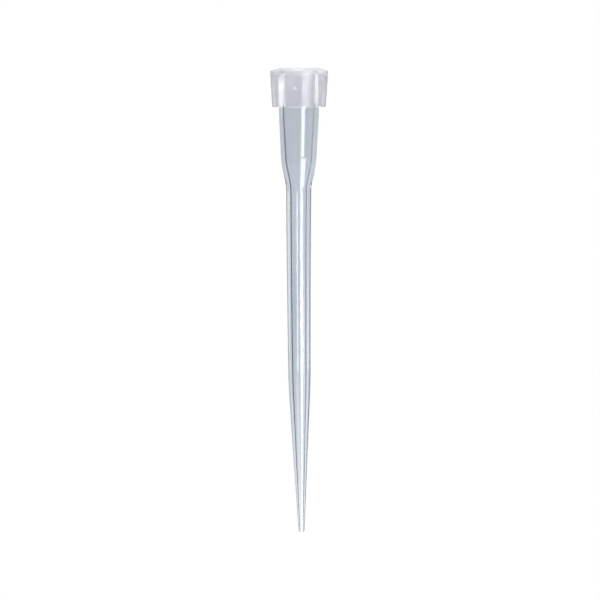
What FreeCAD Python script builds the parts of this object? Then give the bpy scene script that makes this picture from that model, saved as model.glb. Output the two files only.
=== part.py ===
"""Pipette tip for the smallest pipettes: one injection-moulded piece of clear polypropylene.

The tip is a body of revolution about Z with its mouth up. Its outside is what the cavity of the mould
leaves: a collar with a domed rim, a short straight neck, a cone, a shoulder, a long slender stem and a
fine point. Its inside is what the core pin leaves: a flared lead-in, a round land that grips and seals
on the pipette's nose cone, a small step, and a bore that follows the outside down to the orifice.
The gate leaves a small disc on the side of the collar.

Lengths are in millimetres. The origin is on the axis where the land begins below the lead-in, which is
where the nose cone starts to seal, so the rim is a lead-in's depth above it and the point far below.
"""

import FreeCAD, Part
import math
import os

import Sketcher

doc = FreeCAD.newDocument("PipetteTip")

# ------------------------------------------------------------------------------------- driving sizes
SIZES = (
    ("overall_length", 46.0, "rim crest to orifice"),
    ("collar_height", 3.89, "rim crest to the collar's underside"),
    ("collar_top_dia", 5.83, "collar where the domed rim meets its side"),
    ("collar_foot_dia", 5.36, "collar at its underside"),
    ("crown_height", 0.24, "how far the rim's dome falls from crest to side"),
    ("crest_width", 0.12, "flat ring at the top of the dome, around the mouth"),
    ("rim_round", 0.12, "edge between the dome and the collar's side"),
    ("collar_foot_round", 0.06, "lower outer edge of the collar"),
    ("collar_root_round", 0.10, "corner between the underside and the neck"),
    ("neck_dia", 4.02, "neck at the collar's underside"),
    ("neck_foot_dia", 3.98, "neck where the cone begins"),
    ("neck_length", 1.08, "collar's underside to the cone"),
    ("cone_length", 4.44, "neck to the shoulder's corner"),
    ("cone_foot_dia", 3.51, "cone at the shoulder's corner"),
    ("shoulder_height", 2.29, "shoulder's upper corner to its lower corner"),
    ("shoulder_top_blend", 8.0, "radius of the shoulder's outward turn"),
    ("shoulder_foot_blend", 5.5, "radius of the shoulder's inward turn"),
    ("stem_top_dia", 2.53, "stem at the shoulder's lower corner"),
    ("stem_foot_dia", 2.225, "stem where the point's taper begins"),
    ("point_length", 14.95, "length of the point's taper"),
    ("point_blend", 60.0, "radius of the turn from the stem into the point"),
    ("end_dia", 0.575, "outside of the orifice end"),
    ("end_round", 0.06, "outer edge of the orifice end"),
    ("lead_in_depth", 0.50, "rim crest to the land"),
    ("lead_in_flare", 0.16, "how much wider the mouth's radius is than the land's"),
    ("land_dia", 3.24, "round land that grips the nose cone"),
    ("land_length", 1.80, "length of the land along the axis"),
    ("step_depth", 0.02, "how much the bore's radius narrows at the step"),
    ("step_height", 0.30, "length of the step along the axis"),
    ("neck_wall", 0.50, "wall at the neck's foot"),
    ("cone_wall", 0.54, "wall at the shoulder's upper corner"),
    ("stem_wall", 0.54, "wall at the top of the stem"),
    ("stem_foot_wall", 0.50, "wall at the foot of the stem"),
    ("bore_blend", 6.0, "radius of the bore's turns at the shoulder"),
    ("orifice_dia", 0.34, "orifice"),
    ("orifice_length", 0.80, "straight length of the orifice"),
    ("gate_dia", 0.30, "gate mark on the collar"),
    ("gate_height", 0.03, "how far the gate mark stands out of the collar"),
    ("gate_depth", 2.00, "rim crest to the middle of the gate mark"),
    ("gate_offset", 0.42, "gate mark's distance from the plane of X = 0"),
    ("gate_root", 0.40, "how deep the gate mark's stub reaches into the wall"),
)

sheet = doc.addObject("Spreadsheet::Sheet", "Sizes")
for row, (alias, size, meaning) in enumerate(SIZES, start=1):
    sheet.set(f"A{row}", alias)
    sheet.set(f"B{row}", str(size))
    sheet.set(f"C{row}", meaning)
    sheet.setAlias(f"B{row}", alias)
doc.recompute()

# Heights of the outline's corners above the origin, each from the sizes that set it.
CREST = "Sizes.lead_in_depth"
COLLAR_SIDE = f"({CREST} - Sizes.crown_height)"
UNDERSIDE = f"({CREST} - Sizes.collar_height)"
NECK_FOOT = f"({UNDERSIDE} - Sizes.neck_length)"
CONE_FOOT = f"({NECK_FOOT} - Sizes.cone_length)"
STEM_TOP = f"({CONE_FOOT} - Sizes.shoulder_height)"
END = f"({CREST} - Sizes.overall_length)"
STEM_FOOT = f"({END} + Sizes.point_length)"
LAND_TOP = "0"
LAND_FOOT = "(-Sizes.land_length)"
STEP_FOOT = f"({LAND_FOOT} - Sizes.step_height)"
ORIFICE_TOP = f"({END} + Sizes.orifice_length)"

# Radii of the corners. The bore keeps its wall wherever the outside changes.
MOUTH_R = "(Sizes.land_dia / 2 + Sizes.lead_in_flare)"
CREST_R = f"({MOUTH_R} + Sizes.crest_width)"
COLLAR_TOP_R = "(Sizes.collar_top_dia / 2)"
COLLAR_FOOT_R = "(Sizes.collar_foot_dia / 2)"
NECK_R = "(Sizes.neck_dia / 2)"
NECK_FOOT_R = "(Sizes.neck_foot_dia / 2)"
CONE_FOOT_R = "(Sizes.cone_foot_dia / 2)"
STEM_TOP_R = "(Sizes.stem_top_dia / 2)"
STEM_FOOT_R = "(Sizes.stem_foot_dia / 2)"
END_R = "(Sizes.end_dia / 2)"
LAND_R = "(Sizes.land_dia / 2)"
STEP_R = f"({LAND_R} - Sizes.step_depth)"
NECK_BORE_R = f"({NECK_FOOT_R} - Sizes.neck_wall)"
CONE_BORE_R = f"({CONE_FOOT_R} - Sizes.cone_wall)"
STEM_BORE_R = f"({STEM_TOP_R} - Sizes.stem_wall)"
STEM_FOOT_BORE_R = f"({STEM_FOOT_R} - Sizes.stem_foot_wall)"
ORIFICE_R = "(Sizes.orifice_dia / 2)"


def number(expression):
    """The present value of an expression in the sheet's sizes."""
    return float(sheet.evalExpression(expression))


def origin_plane(body, role):
    """One of the body's own origin planes, by its role."""
    return next(f for f in body.Origin.OriginFeatures if f.Role == role)


def new_sketch(body, name, role="XZ_Plane"):
    """A sketch on one of the body's origin planes."""
    sketch = body.newObject("Sketcher::SketchObject", name)
    sketch.AttachmentSupport = [(origin_plane(body, role), "")]
    sketch.MapMode = "FlatFace"
    return sketch


class Section:
    """A closed section on one side of the axis, drawn corner by corner from the axis and back to it.

    A corner is (name, radius, height, turn). A turn is the radius of the arc that rounds the corner,
    tangent to the lines on each side of it, or None where the lines meet in an edge. A corner on the
    axis has the radius "0". Every dimension stays bound to the sheet.
    """

    def __init__(self, sketch, corners):
        self.sketch = sketch
        self.corners = corners
        self.places = [(number(r), number(z)) for _, r, z, _ in corners]
        self.draw()

    def bind(self, kind, name, expression, *parts):
        """Add a dimension that the sheet drives."""
        size = number(expression)
        index = self.sketch.addConstraint(Sketcher.Constraint(kind, *parts, size))
        self.sketch.renameConstraint(index, name)
        self.sketch.setExpression(f"Constraints.{name}", expression)

    def trimmed(self, index):
        """How far the arc at a corner cuts back the two lines that meet there."""
        turn = self.corners[index][3]
        if turn is None:
            return 0.0
        here, before = self.places[index], self.places[index - 1]
        after = self.places[(index + 1) % len(self.places)]
        heading_in = math.atan2(here[1] - before[1], here[0] - before[0])
        heading_out = math.atan2(after[1] - here[1], after[0] - here[0])
        bend = abs(math.remainder(heading_out - heading_in, 2 * math.pi))
        return number(turn) * math.tan(bend / 2)

    def between(self, start, end, distance):
        """The point a distance from one corner towards another."""
        (x0, y0), (x1, y1) = self.places[start], self.places[end]
        share = distance / math.hypot(x1 - x0, y1 - y0)
        return FreeCAD.Vector(x0 + share * (x1 - x0), y0 + share * (y1 - y0), 0)

    def draw(self):
        """Lines between the corners, then an arc or a shared point at each, then the dimensions."""
        count = len(self.corners)
        for i in range(count):
            after = (i + 1) % count
            start = self.between(i, after, self.trimmed(i))
            end = self.between(after, i, self.trimmed(after))
            self.sketch.addGeometry(Part.LineSegment(start, end), False)
        for i, (name, radius, height, turn) in enumerate(self.corners):
            line_in, line_out = (i - 1) % count, i
            if turn is None:
                joined = Sketcher.Constraint("Coincident", line_in, 2, line_out, 1)
                self.sketch.addConstraint(joined)
                at = (line_out, 1)
            else:
                at = self.round_corner(i, line_in, line_out, name, turn)
            if radius == "0":
                self.sketch.addConstraint(Sketcher.Constraint("PointOnObject", *at, -2))
            else:
                self.bind("DistanceX", f"{name}_radius", radius, -1, 1, *at)
            self.place_height(name, height, at)

    def place_height(self, name, height, at):
        """Fix a corner's height: on the origin's level, above it or below it."""
        level = number(height)
        if height == "0":
            self.sketch.addConstraint(Sketcher.Constraint("PointOnObject", *at, -1))
        elif level > 0:
            self.bind("DistanceY", f"{name}_height", height, -1, 1, *at)
        else:
            self.bind("DistanceY", f"{name}_height", f"-{height}", *at, -1, 1)

    def round_corner(self, i, line_in, line_out, name, turn):
        """Put the tangent arc in a corner and return the point that marks where the lines would meet."""
        cut = self.trimmed(i)
        after = (i + 1) % len(self.corners)
        start, end = self.between(i, i - 1, cut), self.between(i, after, cut)
        corner = FreeCAD.Vector(*self.places[i], 0)
        size = number(turn)
        centre = corner + ((start + end) / 2 - corner).normalize() * math.hypot(size, cut)
        circle = Part.Circle(centre, FreeCAD.Vector(0, 0, 1), size)
        turns_left = (corner - start).cross(end - corner).z > 0
        first, last = (1, 2) if turns_left else (2, 1)
        low, high = (start, end) if turns_left else (end, start)
        arc_of = Part.ArcOfCircle(circle, circle.parameter(low), circle.parameter(high))
        arc = self.sketch.addGeometry(arc_of, False)
        self.sketch.addConstraint(Sketcher.Constraint("Tangent", line_in, 2, arc, first))
        self.sketch.addConstraint(Sketcher.Constraint("Tangent", arc, last, line_out, 1))
        self.bind("Radius", f"{name}_turn", turn, arc)
        mark = self.sketch.addGeometry(Part.Point(corner), True)
        for line in (line_in, line_out):
            self.sketch.addConstraint(Sketcher.Constraint("PointOnObject", mark, 1, line))
        return (mark, 1)


def round_edges(body, name, size, *circles):
    """Fillet the circular edges of the body's last feature that have these (radius, height)."""
    base = body.Tip
    wanted = []
    for radius, height in circles:
        place = (number(radius), number(height))
        wanted.append(min(range(len(base.Shape.Edges)), key=lambda i: edge_distance(base, i, place)))
    fillet = body.newObject("PartDesign::Fillet", name)
    fillet.Base = (base, [f"Edge{i + 1}" for i in wanted])
    fillet.setExpression("Radius", f"Sizes.{size}")
    body.Tip = fillet
    doc.recompute()
    return fillet


def edge_distance(feature, index, place):
    """How far an edge is from being the circle around the axis with this (radius, height)."""
    curve = feature.Shape.Edges[index].Curve
    if not isinstance(curve, Part.Circle):
        return math.inf
    off_axis = math.hypot(curve.Center.x, curve.Center.y)
    return off_axis + math.hypot(curve.Radius - place[0], curve.Center.z - place[1])


# --------------------------------------------------------------------------------------------- tip
tip = doc.addObject("PartDesign::Body", "tip")
tip.Label = "tip"

outside = new_sketch(tip, "outside_section")
Section(
    outside,
    (
        ("top", "0", CREST, None),
        ("crest", CREST_R, CREST, None),
        ("collar_top", COLLAR_TOP_R, COLLAR_SIDE, None),
        ("collar_foot", COLLAR_FOOT_R, UNDERSIDE, None),
        ("neck", NECK_R, UNDERSIDE, None),
        ("neck_foot", NECK_FOOT_R, NECK_FOOT, None),
        ("shoulder_top", CONE_FOOT_R, CONE_FOOT, "Sizes.shoulder_top_blend"),
        ("shoulder_foot", STEM_TOP_R, STEM_TOP, "Sizes.shoulder_foot_blend"),
        ("point", STEM_FOOT_R, STEM_FOOT, "Sizes.point_blend"),
        ("end", END_R, END, None),
        ("bottom", "0", END, None),
    ),
)
doc.recompute()

shell = tip.newObject("PartDesign::Revolution", "moulded_outside")
shell.Profile = outside
shell.ReferenceAxis = (outside, ["V_Axis"])
shell.Angle = 360
tip.Tip = shell
doc.recompute()

core_pin = new_sketch(tip, "core_pin_section")
Section(
    core_pin,
    (
        ("top", "0", CREST, None),
        ("mouth", MOUTH_R, CREST, None),
        ("land_top", LAND_R, LAND_TOP, None),
        ("land_foot", LAND_R, LAND_FOOT, None),
        ("step_foot", STEP_R, STEP_FOOT, None),
        ("neck_bore", NECK_BORE_R, NECK_FOOT, None),
        ("cone_bore", CONE_BORE_R, CONE_FOOT, "Sizes.bore_blend"),
        ("stem_bore", STEM_BORE_R, STEM_TOP, "Sizes.bore_blend"),
        ("stem_foot_bore", STEM_FOOT_BORE_R, STEM_FOOT, None),
        ("orifice_top", ORIFICE_R, ORIFICE_TOP, None),
        ("orifice", ORIFICE_R, END, None),
        ("bottom", "0", END, None),
    ),
)
doc.recompute()

bore = tip.newObject("PartDesign::Groove", "bore")
bore.Profile = core_pin
bore.ReferenceAxis = (core_pin, ["V_Axis"])
bore.Angle = 360
tip.Tip = bore
doc.recompute()

round_edges(tip, "rim_edge", "rim_round", (COLLAR_TOP_R, COLLAR_SIDE))
round_edges(tip, "collar_foot_edge", "collar_foot_round", (COLLAR_FOOT_R, UNDERSIDE))
round_edges(tip, "collar_root", "collar_root_round", (NECK_R, UNDERSIDE))
round_edges(tip, "orifice_edge", "end_round", (END_R, END))

# The gate mark is a short stub on the collar's front, standing just clear of it.
GATE_HEIGHT = f"({CREST} - Sizes.gate_depth)"
COLLAR_DRAFT = f"(({COLLAR_TOP_R} - {COLLAR_FOOT_R}) / (Sizes.collar_height - Sizes.crown_height))"
COLLAR_R_AT_GATE = f"({COLLAR_TOP_R} - (Sizes.gate_depth - Sizes.crown_height) * {COLLAR_DRAFT})"
GATE_FACE = f"(sqrt({COLLAR_R_AT_GATE}^2 - Sizes.gate_offset^2) + Sizes.gate_height)"

gate_section = new_sketch(tip, "gate_section")
gate_section.AttachmentOffset = FreeCAD.Placement(
    FreeCAD.Vector(0, 0, number(f"{GATE_FACE} - Sizes.gate_root")), FreeCAD.Rotation()
)
gate_section.setExpression("AttachmentOffset.Base.z", f"{GATE_FACE} - Sizes.gate_root")

gate_centre = FreeCAD.Vector(-number("Sizes.gate_offset"), number(GATE_HEIGHT), 0)
gate_circle = Part.Circle(gate_centre, FreeCAD.Vector(0, 0, 1), number("Sizes.gate_dia") / 2)
gate_section.addGeometry(gate_circle, False)
for kind, name, expression, parts in (
    ("Radius", "gate_radius", "Sizes.gate_dia / 2", (0,)),
    ("DistanceX", "gate_offset", "Sizes.gate_offset", (0, 3, -1, 1)),
    ("DistanceY", "gate_height", f"-{GATE_HEIGHT}", (0, 3, -1, 1)),
):
    constraint = Sketcher.Constraint(kind, *parts, number(expression))
    gate_section.renameConstraint(gate_section.addConstraint(constraint), name)
    gate_section.setExpression(f"Constraints.{name}", expression)
doc.recompute()

gate_mark = tip.newObject("PartDesign::Pad", "gate_mark")
gate_mark.Profile = gate_section
gate_mark.setExpression("Length", "Sizes.gate_root")
tip.Tip = gate_mark
doc.recompute()

# ------------------------------------------------------------------------------------ check and save
for item in doc.Objects:
    if {"Invalid", "Error"} & set(item.State):
        raise RuntimeError(f"{item.Name} did not build: {item.State}")
for sketch in (outside, core_pin, gate_section):
    if not sketch.FullyConstrained:
        raise RuntimeError(f"{sketch.Name} is not fully constrained")
if tip.Shape.isNull() or not tip.Shape.isValid() or len(tip.Shape.Solids) != 1:
    raise RuntimeError("the tip is not one valid solid")
if bore.Shape.Volume >= shell.Shape.Volume:
    raise RuntimeError("the core pin left no bore")

os.makedirs("parts", exist_ok=True)
tip.Shape.exportStep(f"parts/{tip.Label}.step")
box = tip.Shape.BoundBox
print(f"tip: {box.XLength:.3f} x {box.YLength:.3f} x {box.ZLength:.3f} mm, {tip.Shape.Volume:.2f} mm3")
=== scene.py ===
"""Pipette tip: the finish of one moulded piece of clear polypropylene, and the studio it is seen in.

The tip is a surface of revolution about Z with its mouth up. Its outside is polished by the cavity of
the mould and its bore by the core pin. The studio is a pale floor under a white surround, with tall
soft lamps and dark flags, which is how clear ware is lit so that its walls show.
"""

import logging
import math
from dataclasses import dataclass, field
from enum import Enum

import bpy
import numpy as np
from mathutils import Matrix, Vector


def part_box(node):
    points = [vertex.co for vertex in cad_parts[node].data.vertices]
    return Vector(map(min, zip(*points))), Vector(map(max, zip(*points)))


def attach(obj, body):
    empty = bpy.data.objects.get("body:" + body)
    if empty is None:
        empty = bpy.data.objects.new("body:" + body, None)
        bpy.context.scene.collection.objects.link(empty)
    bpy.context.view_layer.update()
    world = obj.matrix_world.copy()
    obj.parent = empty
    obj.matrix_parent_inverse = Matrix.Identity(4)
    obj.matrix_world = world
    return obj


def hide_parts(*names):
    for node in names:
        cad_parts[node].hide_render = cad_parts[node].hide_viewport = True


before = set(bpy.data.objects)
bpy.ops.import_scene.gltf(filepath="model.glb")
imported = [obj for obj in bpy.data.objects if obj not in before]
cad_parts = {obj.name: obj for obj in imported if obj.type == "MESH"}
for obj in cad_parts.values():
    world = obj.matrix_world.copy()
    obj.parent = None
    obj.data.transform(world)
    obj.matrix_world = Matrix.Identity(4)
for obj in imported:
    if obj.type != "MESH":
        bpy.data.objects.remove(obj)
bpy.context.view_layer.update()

log = logging.getLogger("pipette_tip")

MM = 0.001
# A noise texture mostly stays between these two.
NOISE_LOW, NOISE_HIGH = 0.25, 0.75
# Past the sides, in degrees, and past the foot and head of any tent, so a card there has no edge.
SIDE = 91.0
END = 400.0


def linear(hex_colour: str) -> tuple[float, float, float, float]:
    """Turn an sRGB hex colour into linear red, green, blue and a full alpha.

    Args:
        hex_colour: six hex digits, such as "d8dce4".

    Returns:
        The four linear channels that a shader socket takes.
    """
    channels = [int(hex_colour[i : i + 2], 16) / 255 for i in (0, 2, 4)]
    steps = [c / 12.92 if c <= 0.04045 else ((c + 0.055) / 1.055) ** 2.4 for c in channels]
    return (*steps, 1.0)


def add_node(
    tree: bpy.types.NodeTree, kind: str, settings: dict | None = None, inputs: dict | None = None
) -> bpy.types.Node:
    """Add a node with its settings and its inputs.

    Args:
        tree: the node tree that gets the node.
        kind: Blender's name for the node type.
        settings: the node's own properties by name.
        inputs: by socket name or index, a value to set or an output socket to link.

    Returns:
        The new node.
    """
    node = tree.nodes.new(kind)
    for name, value in (settings or {}).items():
        setattr(node, name, value)
    for socket, value in (inputs or {}).items():
        if isinstance(value, bpy.types.NodeSocket):
            tree.links.new(value, node.inputs[socket])
        else:
            node.inputs[socket].default_value = value
    return node


def bare_tree(owner: bpy.types.Material | bpy.types.World) -> bpy.types.NodeTree:
    """Turn on the nodes of a material or a world and empty their tree.

    Args:
        owner: the material or the world.

    Returns:
        Its tree, with nothing in it.
    """
    owner.use_nodes = True
    owner.node_tree.nodes.clear()
    return owner.node_tree


def add_object(name: str, data: bpy.types.ID) -> bpy.types.Object:
    """Put a mesh, a light or a camera into the scene.

    Args:
        name: the object's name.
        data: what the object holds.

    Returns:
        The object, at the origin.
    """
    made = bpy.data.objects.new(name, data)
    bpy.context.scene.collection.objects.link(made)
    return made


class Face(Enum):
    """The side of the mould that forms a stretch of the surface."""

    CAVITY = 0.0
    CORE = 1.0


@dataclass(frozen=True)
class Corner:
    """A corner of the half section, in millimetres, with the radius that rounds it."""

    radius: float
    height: float
    turn: float
    face: Face = Face.CAVITY


@dataclass(frozen=True)
class ClearPolypropylene:
    """Natural polypropylene homopolymer, injection moulded against polished steel.

    Its crystals scatter a little light in every millimetre, so the thin walls look like clear cool
    glass and the thick collar looks milky. The cavity's polish gives sharp bright reflections, and
    the core pin, lapped along its length, leaves fine lines down the bore that streak what is seen
    through it. Lengths are in millimetres.
    """

    name: str = "polypropylene_moulded"
    tint: str = "f6f6fa"
    ior: float = 1.49
    haze_per_mm: float = 0.07
    # Between these two thicknesses the outside turns from polished to satin.
    thin_wall: float = 0.6
    thick_wall: float = 1.0
    absorbed: str = "808098"
    absorbed_per_m: float = 20.0
    cavity_polish: float = 0.03
    collar_satin: float = 0.10
    core_polish: float = 0.05
    # A lapping line is some 0.02 wide, too fine to show, and is drawn 0.12 wide.
    lapping_width: float = 0.12
    lapping_depth: float = 0.0006
    lapping_stretch: float = 0.02
    flow_width: float = 1.8
    flow_depth: float = 0.008

    def material(self) -> bpy.types.Material:
        """Make the shader.

        Its haze comes from the point attribute "haze", and its relief from "core_side", which is 1
        where the core pin formed the surface.

        Returns:
            The material, ready to be put in a slot.
        """
        made = bpy.data.materials.new(self.name)
        tree = bare_tree(made)
        haze = add_node(tree, "ShaderNodeAttribute", {"attribute_name": "haze"})
        clear = add_node(
            tree, "ShaderNodeMath", {"operation": "SUBTRACT"}, {0: 1.0, 1: haze.outputs["Fac"]}
        )
        core = add_node(tree, "ShaderNodeAttribute", {"attribute_name": "core_side"})
        thick = add_node(
            tree,
            "ShaderNodeMapRange",
            inputs={
                "Value": haze.outputs["Fac"],
                "From Min": self.thin_wall * self.haze_per_mm,
                "From Max": self.thick_wall * self.haze_per_mm,
            },
        ).outputs[0]
        outside = add_node(
            tree,
            "ShaderNodeMapRange",
            inputs={
                "Value": thick,
                "To Min": self.cavity_polish,
                "To Max": self.collar_satin,
            },
        )
        polish = add_node(
            tree,
            "ShaderNodeMapRange",
            inputs={
                "Value": core.outputs["Fac"],
                "To Min": outside.outputs[0],
                "To Max": self.core_polish,
            },
        )
        shader = add_node(
            tree,
            "ShaderNodeBsdfPrincipled",
            inputs={
                "Base Color": linear(self.tint),
                "IOR": self.ior,
                "Roughness": polish.outputs[0],
                "Transmission Weight": clear.outputs[0],
                "Normal": self.relief(tree, core.outputs["Fac"], thick),
            },
        )
        dimmed = add_node(
            tree,
            "ShaderNodeVolumeAbsorption",
            inputs={"Color": linear(self.absorbed), "Density": self.absorbed_per_m},
        )
        add_node(
            tree,
            "ShaderNodeOutputMaterial",
            inputs={"Surface": shader.outputs["BSDF"], "Volume": dimmed.outputs[0]},
        )
        return made

    def relief(
        self, tree: bpy.types.NodeTree, core: bpy.types.NodeSocket, thick: bpy.types.NodeSocket
    ) -> bpy.types.NodeSocket:
        """Add the lapping lines of the core pin and the soft flow waves of the outside.

        Args:
            tree: the material's node tree.
            core: the socket that is 1 on the bore.
            thick: the socket that is 1 on a thick wall, which shrinks and waves as it cools.

        Returns:
            The bent normal.
        """
        place = add_node(tree, "ShaderNodeTexCoord").outputs["Object"]
        drawn_out = add_node(
            tree,
            "ShaderNodeMapping",
            inputs={"Vector": place, "Scale": (1.0, 1.0, self.lapping_stretch)},
        )
        lines = add_node(
            tree,
            "ShaderNodeTexNoise",
            inputs={
                "Vector": drawn_out.outputs[0],
                "Scale": 1 / (self.lapping_width * MM),
                "Detail": 1.0,
            },
        )
        waves = add_node(
            tree,
            "ShaderNodeTexNoise",
            inputs={"Vector": place, "Scale": 1 / (self.flow_width * MM), "Detail": 0.0},
        )
        lapped = add_node(
            tree,
            "ShaderNodeBump",
            inputs={
                "Height": lines.outputs["Fac"],
                "Strength": core,
                "Distance": self.lapping_depth * MM,
            },
        )
        flowed = add_node(
            tree,
            "ShaderNodeBump",
            inputs={
                "Height": waves.outputs["Fac"],
                "Strength": thick,
                "Distance": self.flow_depth * MM,
                "Normal": lapped.outputs[0],
            },
        )
        return flowed.outputs[0]


@dataclass(frozen=True)
class Fineness:
    """How finely the surface is divided. Lengths are in millimetres and angles in degrees."""

    columns: int = 224
    arc_step: float = 9.0
    arc_rings: int = 5
    # An arc of more than this radius gets more rings.
    wide_arc: float = 1.0
    wide_arc_rings: int = 14
    # The most of a straight that the arc at either end may take.
    arc_share: float = 0.45
    ring_spacing: float = 1.2
    # How far a straight's first and last rings stand from its ends.
    edge_ring: float = 0.015
    # The close rings and columns at the gate mark. Their reach and the room that even rings leave for
    # them are shares of its diameter. The room that even columns leave is a share of the reach.
    side_rings: int = 30
    gate_rings: int = 22
    gate_ring_reach: float = 0.7
    gate_ring_room: float = 0.75
    gate_columns: int = 20
    gate_column_reach: float = 0.8
    gate_column_room: float = 1.1


@dataclass
class PipetteTip:
    """The whole tip, one piece, drawn as a half section turned about Z. Lengths are in millimetres.

    Heights are from the origin, where the land begins below the lead-in.
    """

    lead_in_depth: float = 0.50
    overall_length: float = 46.0
    collar_height: float = 3.89
    collar_top_dia: float = 5.83
    collar_foot_dia: float = 5.36
    crown_height: float = 0.24
    crest_width: float = 0.12
    rim_round: float = 0.12
    collar_foot_round: float = 0.06
    collar_root_round: float = 0.10
    neck_dia: float = 4.02
    neck_foot_dia: float = 3.98
    neck_length: float = 1.08
    cone_length: float = 4.44
    cone_foot_dia: float = 3.51
    shoulder_height: float = 2.29
    shoulder_top_blend: float = 8.0
    shoulder_foot_blend: float = 5.5
    stem_top_dia: float = 2.53
    stem_foot_dia: float = 2.225
    point_length: float = 14.95
    point_blend: float = 60.0
    end_dia: float = 0.575
    end_round: float = 0.06
    lead_in_flare: float = 0.16
    land_dia: float = 3.24
    land_length: float = 1.80
    step_depth: float = 0.02
    step_height: float = 0.30
    neck_wall: float = 0.50
    cone_wall: float = 0.54
    stem_wall: float = 0.54
    stem_foot_wall: float = 0.50
    bore_blend: float = 6.0
    neck_blend: float = 4.0
    land_blend: float = 12.0
    mouth_blend: float = 0.4
    orifice_dia: float = 0.34
    orifice_length: float = 0.80
    orifice_blend: float = 4.0
    gate_dia: float = 0.30
    gate_height: float = 0.03
    gate_depth: float = 2.00
    gate_offset: float = 0.42
    # The gate mark's edge ends this far past its radius, and is this wide.
    gate_spread: float = 0.02
    gate_edge: float = 0.05
    fine_round: float = 0.03
    bow: float = 0.145
    gate_haze: float = 0.36
    rim_haze: float = 0.32
    rim_haze_foot: float = -0.75
    fineness: Fineness = field(default_factory=Fineness)
    finish: ClearPolypropylene = field(default_factory=ClearPolypropylene)

    def __post_init__(self) -> None:
        """Work out the levels that several corners share."""
        self.crest = self.lead_in_depth
        self.underside = self.crest - self.collar_height
        self.neck_foot = self.underside - self.neck_length
        self.cone_foot = self.neck_foot - self.cone_length
        self.stem_top = self.cone_foot - self.shoulder_height
        self.end = self.crest - self.overall_length
        self.stem_foot = self.end + self.point_length
        self.gate_level = self.crest - self.gate_depth

    def corners(self) -> list[Corner]:
        """List the corners of the half section, once round it.

        Returns:
            The corners from the mouth down the outside to the orifice, and up the bore to the mouth.
        """
        core, edge = Face.CORE, self.fine_round
        mouth_r = self.land_dia / 2 + self.lead_in_flare
        crest_r = mouth_r + self.crest_width
        side = self.crest - self.crown_height
        step_foot = -self.land_length - self.step_height
        return [
            Corner(mouth_r, self.crest, edge),
            Corner(crest_r, self.crest, edge),
            Corner(self.collar_top_dia / 2, side, self.rim_round),
            Corner(self.collar_foot_dia / 2, self.underside, self.collar_foot_round),
            Corner(self.neck_dia / 2, self.underside, self.collar_root_round),
            Corner(self.neck_foot_dia / 2, self.neck_foot, self.neck_blend),
            Corner(self.cone_foot_dia / 2, self.cone_foot, self.shoulder_top_blend),
            Corner(self.stem_top_dia / 2, self.stem_top, self.shoulder_foot_blend),
            Corner(self.stem_foot_dia / 2, self.stem_foot, self.point_blend),
            Corner(self.end_dia / 2, self.end, self.end_round),
            Corner(self.orifice_dia / 2, self.end, edge / 2),
            Corner(self.orifice_dia / 2, self.end + self.orifice_length, self.orifice_blend, core),
            Corner(self.stem_foot_dia / 2 - self.stem_foot_wall, self.stem_foot, self.point_blend, core),
            Corner(self.stem_top_dia / 2 - self.stem_wall, self.stem_top, self.bore_blend, core),
            Corner(self.cone_foot_dia / 2 - self.cone_wall, self.cone_foot, self.bore_blend, core),
            Corner(self.neck_foot_dia / 2 - self.neck_wall, self.neck_foot, self.neck_blend, core),
            Corner(self.land_dia / 2 - self.step_depth, step_foot, self.land_blend, core),
            Corner(self.land_dia / 2, -self.land_length, self.land_blend, core),
            Corner(self.land_dia / 2, 0.0, self.mouth_blend, core),
        ]

    def section(self) -> tuple[np.ndarray, np.ndarray]:
        """Draw the half section: straight lines, each corner rounded by a tangent arc.

        A corner's arc starts and ends a tangent length, turn times tan of half the bend, from the
        corner. Its points stand at even angles about the centre. Each straight gets a ring close to
        both its ends, so that the arcs' shading doesn't reach along it, and rings between.

        Returns:
            The points as (radius, height) rows, and for each the mould face that forms it.
        """
        fine = self.fineness
        listed = self.corners()
        place = np.array([(c.radius, c.height) for c in listed])
        before = place - np.roll(place, 1, axis=0)
        before_length = np.linalg.norm(before, axis=1)
        heading = before / before_length[:, None]
        after_heading = np.roll(heading, -1, axis=0)
        after_length = np.roll(before_length, -1)
        bend = np.arccos(np.clip((heading * after_heading).sum(1), -1.0, 1.0))
        cross = heading[:, 0] * after_heading[:, 1] - heading[:, 1] * after_heading[:, 0]
        turn = np.array([c.turn for c in listed])
        most = fine.arc_share * np.minimum(before_length, after_length)
        cut = np.minimum(turn * np.tan(bend / 2), most)
        turn = cut / np.tan(bend / 2)
        points: list[np.ndarray] = []
        faces: list[np.ndarray] = []
        for i, corner in enumerate(listed):
            steps = max(fine.arc_rings, int(math.degrees(bend[i]) / fine.arc_step) + 2)
            if turn[i] > fine.wide_arc:
                steps = max(steps, fine.wide_arc_rings)
            left = np.array([-heading[i, 1], heading[i, 0]]) * np.sign(cross[i])
            start = place[i] - heading[i] * cut[i]
            centre = start + left * turn[i]
            angle = np.linspace(0.0, bend[i], steps)
            arc = (
                centre
                - np.outer(np.cos(angle), left) * turn[i]
                + np.outer(np.sin(angle), heading[i]) * turn[i]
            )
            following = (i + 1) % len(listed)
            straight_start = place[i] + after_heading[i] * cut[i]
            straight_end = place[following] - after_heading[i] * cut[following]
            length = float(np.linalg.norm(straight_end - straight_start))
            near = min(fine.edge_ring, length / 4)
            count = max(2, int(length / fine.ring_spacing) + 2)
            along = np.linspace(near, length - near, count)
            if corner.face is Face.CAVITY and straight_start[1] > self.gate_level > straight_end[1]:
                along = self.with_gate_rings(along, straight_start, after_heading[i])
            straight = straight_start + np.outer(along, after_heading[i])
            stretch = np.vstack([arc, straight])
            points.append(stretch)
            faces.append(np.full(len(stretch), corner.face.value))
        return np.vstack(points), np.concatenate(faces)

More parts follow.
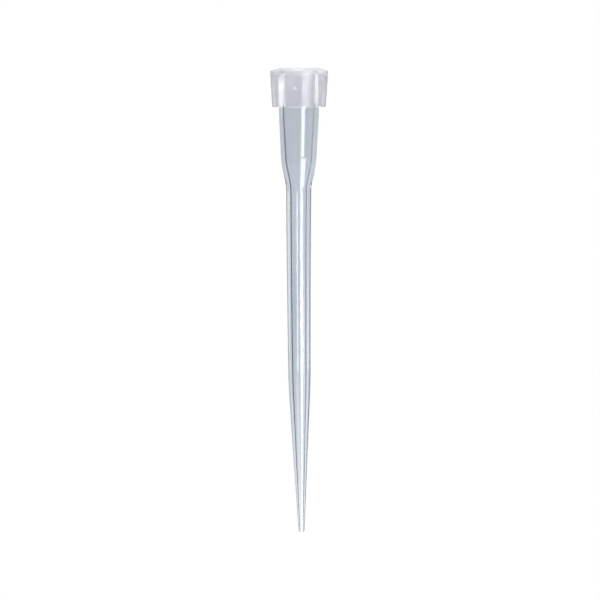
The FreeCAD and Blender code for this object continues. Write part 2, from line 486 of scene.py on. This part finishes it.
    def with_gate_rings(self, along: np.ndarray, start: np.ndarray, heading: np.ndarray) -> np.ndarray:
        """Add close rings on the collar's side where the gate mark stands.

        Args:
            along: the distances of the straight's rings from its start.
            start: the straight's first point, as radius and height.
            heading: its direction, as a vector of length 1.

        Returns:
            The distances of all its rings, the close ones with them.
        """
        fine = self.fineness
        gate_at = (self.gate_level - start[1]) / heading[1]
        reach = fine.gate_ring_reach * self.gate_dia
        close = np.linspace(gate_at - reach, gate_at + reach, fine.gate_rings)
        even = np.linspace(along[0], along[-1], fine.side_rings)
        apart = even[np.abs(even - gate_at) > fine.gate_ring_room * self.gate_dia]
        return np.unique(np.concatenate([apart, close]))

    def ring_angles(self) -> np.ndarray:
        """Space the points on a ring: evenly, with close ones at the gate mark.

        Returns:
            Their angles round the axis, in order.
        """
        fine = self.fineness
        even = np.linspace(0.0, 2 * math.pi, fine.columns, endpoint=False)
        middle = self.gate_angle()
        reach = fine.gate_column_reach * self.gate_dia / (self.collar_top_dia / 2)
        close = np.linspace(middle - reach, middle + reach, fine.gate_columns)
        apart = even[np.abs(even - middle) > fine.gate_column_room * reach]
        return np.sort(np.concatenate([apart, close]))

    def gate_angle(self) -> float:
        """Where the gate mark is around the axis, on the front and just left of the middle."""
        return 1.5 * math.pi - math.asin(self.gate_offset / (self.collar_top_dia / 2))

    def wall(self, section: np.ndarray, faces: np.ndarray) -> np.ndarray:
        """Measure how thick the wall is at each point of the section.

        It is the outside's radius less the bore's at the point's own height.

        Args:
            section: the points as (radius, height) rows.
            faces: the mould face of each point.

        Returns:
            A thickness for each point.
        """
        outside = section[faces == Face.CAVITY.value]
        bore = section[faces == Face.CORE.value]
        outside = outside[np.argsort(outside[:, 1])]
        bore = bore[np.argsort(bore[:, 1])]
        height = section[:, 1]
        return np.interp(height, outside[:, 1], outside[:, 0]) - np.interp(
            height, bore[:, 1], bore[:, 0]
        )

    def surface(self) -> tuple[np.ndarray, np.ndarray, np.ndarray]:
        """Turn the half section about Z.

        A point at distance s along the section and angle t stands at (r cos t, r sin t, z), where r
        and z are the section's at s. On the collar's side r grows by the gate mark, a disc that
        falls to nothing over its edge. The axis bows to one side by half a sine wave from the mouth
        to the point, as a long thin moulding does. Haze is a share for each millimetre of wall, more
        where the gate was torn off and more towards the rim, which is the milkiest part.

        Returns:
            The grid of points, section by angle by three, then the mould face and the haze of each.
        """
        section, faces = self.section()
        angles = self.ring_angles()
        radius = np.repeat(section[:, :1], len(angles), axis=1)
        height = np.repeat(section[:, 1:], len(angles), axis=1)
        outside = (faces == Face.CAVITY.value)[:, None]
        around = (angles[None, :] - self.gate_angle()) * radius
        along = height - self.gate_level
        distance = np.hypot(around, along)
        fall = np.clip((self.gate_dia / 2 + self.gate_spread - distance) / self.gate_edge, 0.0, 1.0)
        torn = outside * fall * fall * (3 - 2 * fall)
        radius = radius + self.gate_height * torn
        aside = -self.bow * np.sin(math.pi * (self.crest - height) / self.overall_length)
        grid = np.stack([radius * np.cos(angles) + aside, radius * np.sin(angles), height], axis=2)
        share = self.finish.haze_per_mm * self.wall(section, faces)
        rise = np.clip((section[:, 1] - self.rim_haze_foot) / (self.crest - self.rim_haze_foot), 0.0, 1.0)
        share = share + self.rim_haze * rise * rise * (3 - 2 * rise)
        haze = np.maximum(np.repeat(share[:, None], len(angles), axis=1), self.gate_haze * torn)
        return grid, np.repeat(faces[:, None], len(angles), axis=1), haze

    def build(self) -> bpy.types.Object:
        """Make the tip's mesh, dress it and hang it on the frame.

        Returns:
            The finished piece, which stands for the frame's tip.
        """
        grid, faces, haze = self.surface()
        rows, columns = grid.shape[:2]
        index = np.arange(rows * columns).reshape(rows, columns)
        down = np.roll(index, -1, axis=0)
        quads = np.stack([index, down, np.roll(down, -1, axis=1), np.roll(index, -1, axis=1)], axis=2)
        mesh = bpy.data.meshes.new("moulded_tip")
        mesh.from_pydata((grid.reshape(-1, 3) * MM).tolist(), [], quads.reshape(-1, 4).tolist())
        mesh.polygons.foreach_set("use_smooth", np.ones(len(mesh.polygons), bool))
        for name, values in (("core_side", faces), ("haze", haze)):
            made = mesh.attributes.new(name, "FLOAT", "POINT")
            made.data.foreach_set("value", values.astype(np.float32).ravel())
        mesh.materials.append(self.finish.material())
        mesh.validate()
        mesh.update()
        piece = add_object("moulded_tip", mesh)
        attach(piece, "root")
        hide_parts("tip")
        return piece


@dataclass(frozen=True)
class Card:
    """A card on the wall of a light tent, and its mirror image on the half in front of the piece.

    Its sides are in degrees right of straight behind, its foot and head in millimetres. Its edge is
    how soft its sides are, in degrees, and its fade how soft its foot and head are, in millimetres.
    A later card covers an earlier one.
    """

    left: float
    right: float
    foot: float
    head: float
    tone: str
    edge: float = 5.0
    fade: float = 1.0
    glow: float = 1.0

    def light(self) -> tuple[float, ...]:
        """What it gives off, which is more than white where a lamp stands behind it."""
        return (*(self.glow * channel for channel in linear(self.tone)[:3]), 1.0)


@dataclass(frozen=True)
class Tent:
    """A round wall of cards about the piece. Lengths are in millimetres."""

    name: str
    radius: float
    foot: float
    head: float
    cards: tuple[Card, ...]


@dataclass(frozen=True)
class Lamp:
    """A lamp that only reflections show.

    Its sides are in degrees right of straight behind, its foot and head in degrees above the level,
    and its edge is how soft all four are. Its brightness is added to the sky's, where white is 1.
    """

    left: float
    right: float
    foot: float
    head: float
    brightness: float
    edge: float = 2.0


@dataclass
class Studio:
    """The floor, light tents, surround, soft box and camera.

    Lengths are in metres and angles in degrees, apart from those of the cards and the lamps.
    """

    floor_gap: float = 0.004
    floor_side: float = 3.0
    board_lift: float = 0.25
    tent_sides: int = 96
    # The cloth's pleats: how many degrees apart, and how much lighter or darker they make it.
    pleat_width: float = 2.4
    pleat_depth: float = 0.10
    tents: tuple[Tent, ...] = (
        # Close round the lower collar: grey, with white at both sides for its two bright strips.
        Tent(
            "collar_tent",
            radius=20,
            foot=-3.7,
            head=-1.5,
            cards=(
                Card(-SIDE, SIDE, -END, END, "cfd1da"),
                Card(-80, -32, -END, END, "ffffff", 8, glow=1.2),
                Card(46, 80, -END, END, "ffffff", 6, glow=1.15),
            ),
        ),
        Tent(
            "near_tent",
            radius=60,
            foot=-200,
            head=2.2,
            cards=(
                # Greys: neck and cone, then stem, a paler band from the shoulder down, and collar.
                Card(-SIDE, SIDE, -END, -3.8, "c4ced3"),
                Card(-SIDE, SIDE, -END, -13, "c7d3d9", fade=4),
                Card(-SIDE, SIDE, -19, -11, "d2dbe1", fade=6),
                Card(-SIDE, SIDE, -3.8, END, "cfd1da"),
                # White for the upper part of the collar's bright strips.
                Card(-80, -32, 0.0, END, "ffffff", 8, fade=0.4, glow=1.6),
                Card(46, 80, 0.0, END, "ffffff", 6, fade=0.4, glow=1.2),
                # The inside grows lighter towards the point, in stripes.
                Card(-45, 45, -END, -37, "f6feff", fade=16),
                Card(3, 34, -END, -21, "f4ffff", 6, fade=12),
                Card(-16, -2, -END, -29, "ffffff", 4, fade=10, glow=0.95),
                Card(-20, 22, -END, -41, "f6feff", 6, fade=8, glow=1.25),
                # Dark flags at both sides, which draw the walls' dark lines, wider at the point.
                Card(-78, -51, -END, -4.3, "50525e", 3),
                Card(58, 80, -END, -4.3, "7a8490"),
                Card(60, 78, -17, -4.3, "5c5c6a", 3, fade=2),
                Card(-82, -46, -END, -38, "484a54", fade=6),
                Card(46, 82, -END, -38, "6e7882", fade=6),
                # Pale edges outside the flags, whitest on the right down to the shoulder.
                Card(-SIDE, -78, -END, -5.0, "d6d6e2"),
                Card(80, SIDE, -END, -5.0, "d0dce2"),
                Card(80, SIDE, -17, -4.3, "fbfbff", fade=2),
            ),
        ),
        Tent(
            "far_tent",
            radius=200,
            foot=-10,
            head=250,
            cards=(
                Card(-SIDE, SIDE, -END, END, "d8d8dc"),
                # White for the collar's bright strips, and the greys of its outer bands above them.
                Card(-80, -31, -END, 15.8, "ffffff", 6, glow=1.85),
                Card(46, 80, -END, 14.8, "ffffff", 6, glow=1.2),
                Card(-SIDE, -40, 15.8, 28, "bbbbbe"),
                Card(40, SIDE, 14.8, 28, "bfbfc3"),
                # Light and dark higher up, for the views from above.
                Card(-36, 36, 45, END, "ffffff", fade=20, glow=1.1),
                Card(-78, -51, 30, END, "50525e", fade=4),
                Card(58, 80, 30, END, "80808e", fade=4),
            ),
        ),
    )
    lamps_seen: tuple[Lamp, ...] = (
        # The tall lamp in front on the right: bright near the level and far below, dimmer between.
        Lamp(145, 166, -6.75, 4, 11.0, 1.0),
        Lamp(132, 166, -60, -9.2, 11.0, 1.0),
        Lamp(133, 172, -9.2, -6.75, 2.8),
        Lamp(128, 152, -9.2, -6.75, 2.2),
        # A dimmer strip beside it, farther right and near the level, and a lamp in front on the left.
        Lamp(131, 146, -1.7, 4, 2.5, 0.8),
        Lamp(139, 146, -1.7, 4, 6.0, 0.8),
        Lamp(-172, -160, -1.7, 1.0, 8.0, 0.8),
        # The edge lamps behind at both sides, the one straight behind, and the light overhead.
        Lamp(-84, -60, -0.64, 3.0, 2.2, 0.08),
        Lamp(60, 84, -0.64, 3.0, 2.2, 0.08),
        Lamp(-7, 7, -60, 4, 3.0),
        Lamp(-200, 200, 12, 200, 0.4),
    )
    sky_reflected: float = 0.70
    sky_on_floor: float = 0.85
    soft_box_side: float = 0.3
    soft_box_watts: float = 1.2
    soft_box_place: tuple[float, float, float] = (0.25, -0.25, 0.45)
    camera_distance: float = 0.6
    camera_nearest: float = 0.01
    view_height: float = 0.059507
    view_middle: float = -0.02252
    view_side: float = -0.000035
    lean: float = 0.2963

    def build(self, lowest: float) -> None:
        """Set up everything around the piece.

        Args:
            lowest: the height of the piece's lowest point.
        """
        self.floor(lowest - self.floor_gap)
        for tent in self.tents:
            self.tent(tent)
        self.surround()
        self.soft_box()
        self.camera()
        bpy.context.scene.view_settings.view_transform = "Standard"

    def window(
        self, tree: bpy.types.NodeTree, value: bpy.types.NodeSocket, low: float, high: float, edge: float
    ) -> bpy.types.NodeSocket:
        """Add nodes that are 1 where a value lies between two levels and fall smoothly to 0 outside.

        Args:
            tree: the node tree.
            value: the socket that gives the value.
            low: the lower level.
            high: the upper level.
            edge: how wide the fall at either level is.

        Returns:
            The socket that gives the share.
        """
        off = add_node(
            tree, "ShaderNodeMath", {"operation": "SUBTRACT"}, {0: value, 1: (low + high) / 2}
        )
        away = add_node(tree, "ShaderNodeMath", {"operation": "ABSOLUTE"}, {0: off.outputs[0]})
        half = (high - low) / 2
        inside = add_node(
            tree,
            "ShaderNodeMapRange",
            {"interpolation_type": "SMOOTHSTEP"},
            {
                "Value": away.outputs[0],
                "From Min": half - edge / 2,
                "From Max": half + edge / 2,
                "To Min": 1.0,
                "To Max": 0.0,
            },
        )
        return inside.outputs[0]

    def azimuth(self, tree: bpy.types.NodeTree, place: bpy.types.NodeSocket) -> bpy.types.NodeSocket:
        """Add nodes that give the direction round the piece, in degrees right of straight behind.

        Args:
            tree: the node tree.
            place: the socket that gives the direction as a vector.

        Returns:
            The socket that gives the angle.
        """
        split = add_node(tree, "ShaderNodeSeparateXYZ", inputs={0: place})
        angle = add_node(
            tree, "ShaderNodeMath", {"operation": "ARCTAN2"}, {0: split.outputs[0], 1: split.outputs[1]}
        )
        degrees = add_node(tree, "ShaderNodeMath", {"operation": "DEGREES"}, {0: angle.outputs[0]})
        return degrees.outputs[0]

    def floor(self, level: float) -> None:
        """A plain pale floor that keeps the piece's shadow.

        Args:
            level: its height.
        """
        half = self.floor_side / 2
        corners = [(-half, -half, level), (half, -half, level), (half, half, level), (-half, half, level)]
        mesh = bpy.data.meshes.new("floor")
        mesh.from_pydata(corners, [], [(0, 1, 2, 3)])
        made = bpy.data.materials.new("matt_white_board")
        tree = bare_tree(made)
        board = add_node(tree, "ShaderNodeBsdfDiffuse", inputs={"Color": linear("f4f4f4")})
        path = add_node(tree, "ShaderNodeLightPath")
        lift = add_node(tree, "ShaderNodeEmission", inputs={"Strength": self.board_lift})
        both = add_node(tree, "ShaderNodeAddShader", inputs={0: board.outputs[0], 1: lift.outputs[0]})
        mix = add_node(
            tree,
            "ShaderNodeMixShader",
            inputs={0: path.outputs["Is Camera Ray"], 1: board.outputs[0], 2: both.outputs[0]},
        )
        add_node(tree, "ShaderNodeOutputMaterial", inputs={"Surface": mix.outputs[0]})
        mesh.materials.append(made)
        floor = add_object("floor", mesh)
        # The lamps and the near tent reach below the floor, so rays off or through the plastic skip it.
        floor.visible_glossy = floor.visible_transmission = False

    def tent(self, tent: Tent) -> None:
        """A light tent of pleated cloth that only the view through the plastic shows.

        Its wall at angle t and height z stands at (R sin t, R cos t, z).

        Args:
            tent: its sizes and its cards.
        """
        radius = tent.radius * MM
        turn = np.linspace(0.0, 2 * math.pi, self.tent_sides, endpoint=False)
        ring = np.stack([np.sin(turn), np.cos(turn)], axis=1) * radius
        foot = np.column_stack([ring, np.full(len(turn), tent.foot * MM)])
        head = np.column_stack([ring, np.full(len(turn), tent.head * MM)])
        index = np.arange(len(turn))
        ahead = np.roll(index, -1)
        walls = np.stack([index, ahead, ahead + len(turn), index + len(turn)], axis=1)
        mesh = bpy.data.meshes.new(tent.name)
        mesh.from_pydata(np.vstack([foot, head]).tolist(), [], walls.tolist())
        made = bpy.data.materials.new(f"{tent.name}_cards")
        tree = bare_tree(made)
        place = add_node(tree, "ShaderNodeTexCoord").outputs["Object"]
        split = add_node(tree, "ShaderNodeSeparateXYZ", inputs={0: place})
        height = add_node(
            tree, "ShaderNodeMath", {"operation": "DIVIDE"}, {0: split.outputs["Z"], 1: MM}
        ).outputs[0]
        across = split.outputs["X"]
        for operation, amount in (("DIVIDE", radius), ("ARCSINE", 0.0), ("DEGREES", 0.0)):
            across = add_node(
                tree, "ShaderNodeMath", {"operation": operation}, {0: across, 1: amount}
            ).outputs[0]
        tone = linear("ffffff")
        for card in tent.cards:
            wide = self.window(tree, across, card.left, card.right, card.edge)
            tall = self.window(tree, height, card.foot, card.head, card.fade)
            cover = add_node(tree, "ShaderNodeMath", {"operation": "MULTIPLY"}, {0: wide, 1: tall})
            laid = add_node(
                tree,
                "ShaderNodeMix",
                {"data_type": "RGBA"},
                {"Factor": cover.outputs[0], 6: tone, 7: card.light()},
            )
            tone = laid.outputs[2]
        fold = add_node(tree, "ShaderNodeMath", {"operation": "DIVIDE"}, {0: across, 1: self.pleat_width})
        pleats = add_node(
            tree,
            "ShaderNodeTexNoise",
            {"noise_dimensions": "1D"},
            {"W": fold.outputs[0], "Scale": 1.0, "Detail": 1.0},
        )
        shade = add_node(
            tree,
            "ShaderNodeMapRange",
            inputs={
                "Value": pleats.outputs["Fac"],
                "From Min": NOISE_LOW,
                "From Max": NOISE_HIGH,
                "To Min": 1 - self.pleat_depth,
                "To Max": 1 + self.pleat_depth,
            },
        )
        glow = add_node(tree, "ShaderNodeEmission", inputs={"Color": tone, "Strength": shade.outputs[0]})
        add_node(tree, "ShaderNodeOutputMaterial", inputs={"Surface": glow.outputs[0]})
        made.cycles.emission_sampling = "NONE"
        mesh.materials.append(made)
        wall = add_object(tent.name, mesh)
        wall.visible_camera = wall.visible_diffuse = wall.visible_glossy = False
        wall.visible_shadow = False

    def surround(self) -> None:
        """White to the eye and through the plastic, a pale sky on the floor, and lamps in reflections."""
        world = bpy.data.worlds.new("surround")
        bpy.context.scene.world = world
        tree = bare_tree(world)
        place = add_node(tree, "ShaderNodeTexCoord").outputs["Generated"]
        around = self.azimuth(tree, place)
        height = add_node(tree, "ShaderNodeSeparateXYZ", inputs={0: place}).outputs["Z"]
        rise = add_node(tree, "ShaderNodeMath", {"operation": "ARCSINE"}, {0: height}).outputs[0]
        rise = add_node(tree, "ShaderNodeMath", {"operation": "DEGREES"}, {0: rise}).outputs[0]
        path = add_node(tree, "ShaderNodeLightPath")
        lit: bpy.types.NodeSocket | float = self.sky_reflected
        for lamp in self.lamps_seen:
            across = self.window(tree, around, lamp.left, lamp.right, lamp.edge)
            along = self.window(tree, rise, lamp.foot, lamp.head, lamp.edge)
            cover = add_node(tree, "ShaderNodeMath", {"operation": "MULTIPLY"}, {0: across, 1: along})
            lit = add_node(
                tree,
                "ShaderNodeMath",
                {"operation": "MULTIPLY_ADD"},
                {0: cover.outputs[0], 1: lamp.brightness, 2: lit},
            ).outputs[0]
        strength: bpy.types.NodeSocket | float = self.sky_on_floor
        white = 1.0
        seen_by = {"Is Transmission Ray": white, "Is Reflection Ray": lit, "Is Camera Ray": white}
        for ray, seen in seen_by.items():
            strength = add_node(
                tree,
                "ShaderNodeMix",
                {"data_type": "FLOAT"},
                {"Factor": path.outputs[ray], 2: strength, 3: seen},
            ).outputs[0]
        sky = add_node(
            tree, "ShaderNodeBackground", inputs={"Color": linear("ffffff"), "Strength": strength}
        )
        add_node(tree, "ShaderNodeOutputWorld", inputs={"Surface": sky.outputs[0]})

    def soft_box(self) -> None:
        """A soft box overhead, in front and to the right, which gives the piece its shadow."""
        data = bpy.data.lights.new("soft_box", "AREA")
        data.shape = "RECTANGLE"
        data.size = data.size_y = self.soft_box_side
        data.energy = self.soft_box_watts
        lamp = add_object("soft_box", data)
        lamp.visible_glossy = lamp.visible_transmission = False
        lamp.location = self.soft_box_place
        aim = Vector((0, 0, self.view_middle)) - Vector(self.soft_box_place)
        lamp.rotation_euler = aim.to_track_quat("-Z", "Y").to_euler()

    def camera(self) -> None:
        """Level with the piece, with no perspective, and rolled a little to the right."""
        data = bpy.data.cameras.new("camera")
        data.type = "ORTHO"
        data.ortho_scale = self.view_height
        data.clip_start = self.camera_nearest
        camera = add_object("camera", data)
        camera.location = (self.view_side, -self.camera_distance, self.view_middle)
        camera.rotation_euler = (math.radians(90), math.radians(self.lean), 0.0)
        bpy.context.scene.camera = camera


def main() -> None:
    """Build the piece and its surroundings."""
    logging.basicConfig(level=logging.INFO, format="%(name)s: %(message)s")
    tip = PipetteTip()
    piece = tip.build()
    log.info("%s has %d faces", piece.name, len(piece.data.polygons))
    lowest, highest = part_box("tip")
    Studio().build(lowest.z)


if __name__ == "__main__":
    main()
